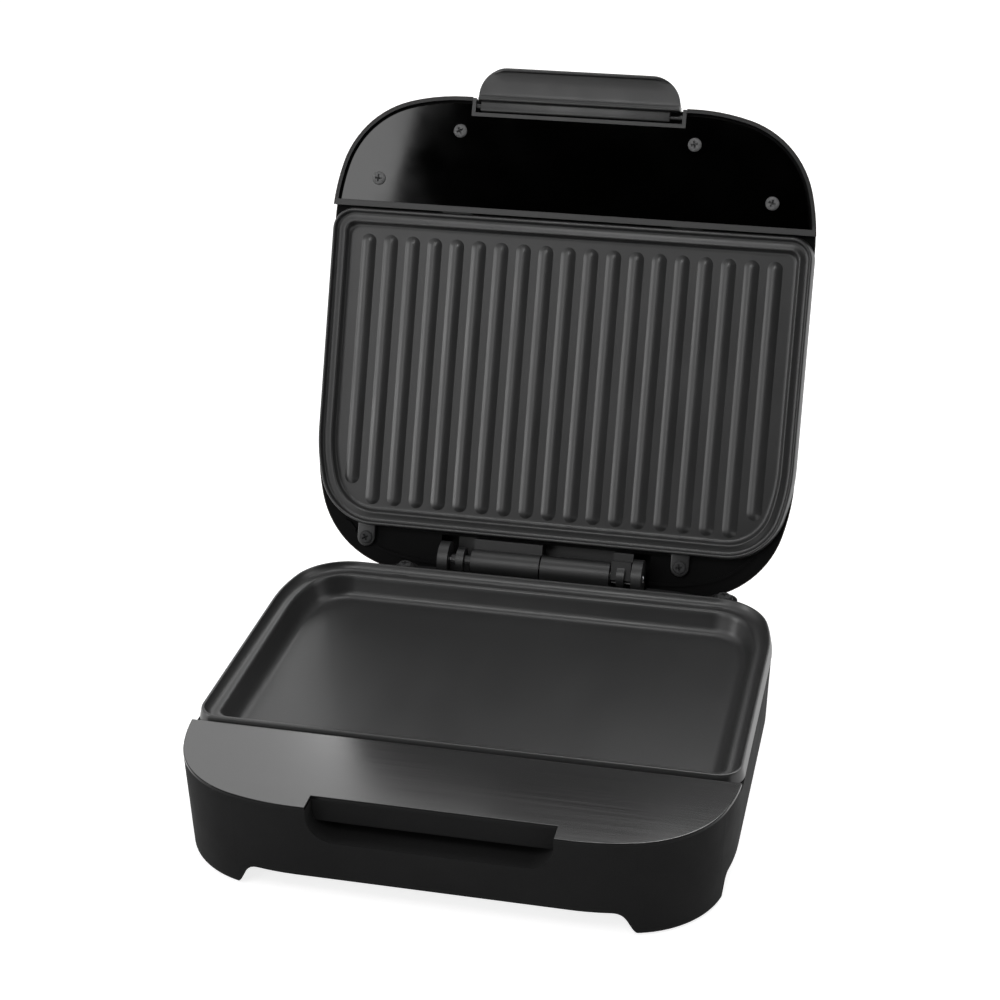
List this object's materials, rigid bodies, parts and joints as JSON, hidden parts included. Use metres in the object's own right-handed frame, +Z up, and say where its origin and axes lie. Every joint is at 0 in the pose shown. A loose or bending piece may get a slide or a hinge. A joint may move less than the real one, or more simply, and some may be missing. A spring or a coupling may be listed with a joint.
{
  "type": "sandwich maker",
  "caption": "Countertop sandwich maker with a hinged lid, a ribbed upper plate, a deep flat lower plate, a fold-down latch handle and a front finger scoop.",
  "frame": {"origin": "middle of the opened part's footprint box, on the table", "axes": "-Y towards the front, where the latch is; +X to the right seen from the front; +Z up"},
  "size_m": [0.2524, 0.359, 0.289],
  "materials": {
    "housing_black": "fine matte moulded",
    "deck_satin": "satin black",
    "nonstick": "dark non-stick coating on cast aluminium",
    "screw_steel": "dull zinc",
    "cover_black": "matte black sheet steel",
    "foot_rubber": "matte",
    "gland_rubber": "matte",
    "element_steel": "heat-tinted",
    "reflector_metal": "mill finish",
    "thermostat_steel": "plain",
    "fuse_metal": "plain",
    "terminal_cream": "matte",
    "hinge_black": "satin moulded",
    "pin_steel": "plain",
    "skin_brown": "dark copper-brown satin",
    "shell_black": "matte moulded",
    "frame_black": "satin moulded",
    "panel_gloss": "polished",
    "bezel_grey": "satin moulded",
    "handle_grey": "satin moulded",
    "lens_red": "clear tinted",
    "lens_green": "clear tinted",
    "lamp_glass": "clear"
  },
  "bodies": {
    "base": {"base_housing": "housing_black", "base_deck": "deck_satin", "bottom_cover": "cover_black", "bottom_cover_screws": "screw_steel", "foot_pads": "foot_rubber", "lower_plate": "nonstick", "lower_plate_screws": "screw_steel", "lower_heater": "element_steel", "lower_reflector": "reflector_metal", "thermostat": "thermostat_steel", "thermal_fuse": "fuse_metal", "terminal_block": "terminal_cream", "cord_gland": "gland_rubber", "base_hinge_block": "hinge_black", "hinge_pin": "pin_steel"},
    "lid": {"lid_skin": "skin_brown", "lid_shell": "shell_black", "lid_frame": "frame_black", "lid_panel": "panel_gloss", "panel_screws": "screw_steel", "latch_bezel": "bezel_grey", "upper_plate": "nonstick", "upper_plate_screws": "screw_steel", "upper_heater": "element_steel", "upper_reflector": "reflector_metal", "lid_hinge_block": "hinge_black", "latch_pin": "pin_steel", "power_lens": "lens_red", "ready_lens": "lens_green", "indicator_lamps": "lamp_glass"},
    "handle": {"latch_handle": "handle_grey"}
  },
  "joints": [
    {"name": "lid_hinge", "type": "hinge", "parent": "base", "child": "lid", "pos_m": [0, 0.06027, 0.0511], "axis": [1, 0, 0], "range_deg": [0, 111.35]},
    {"name": "latch_pivot", "type": "hinge", "parent": "lid", "child": "handle", "pos_m": [0, 0.15116, 0.26821], "axis": [1, 0, 0], "range_deg": [0, 90]}
  ]
}
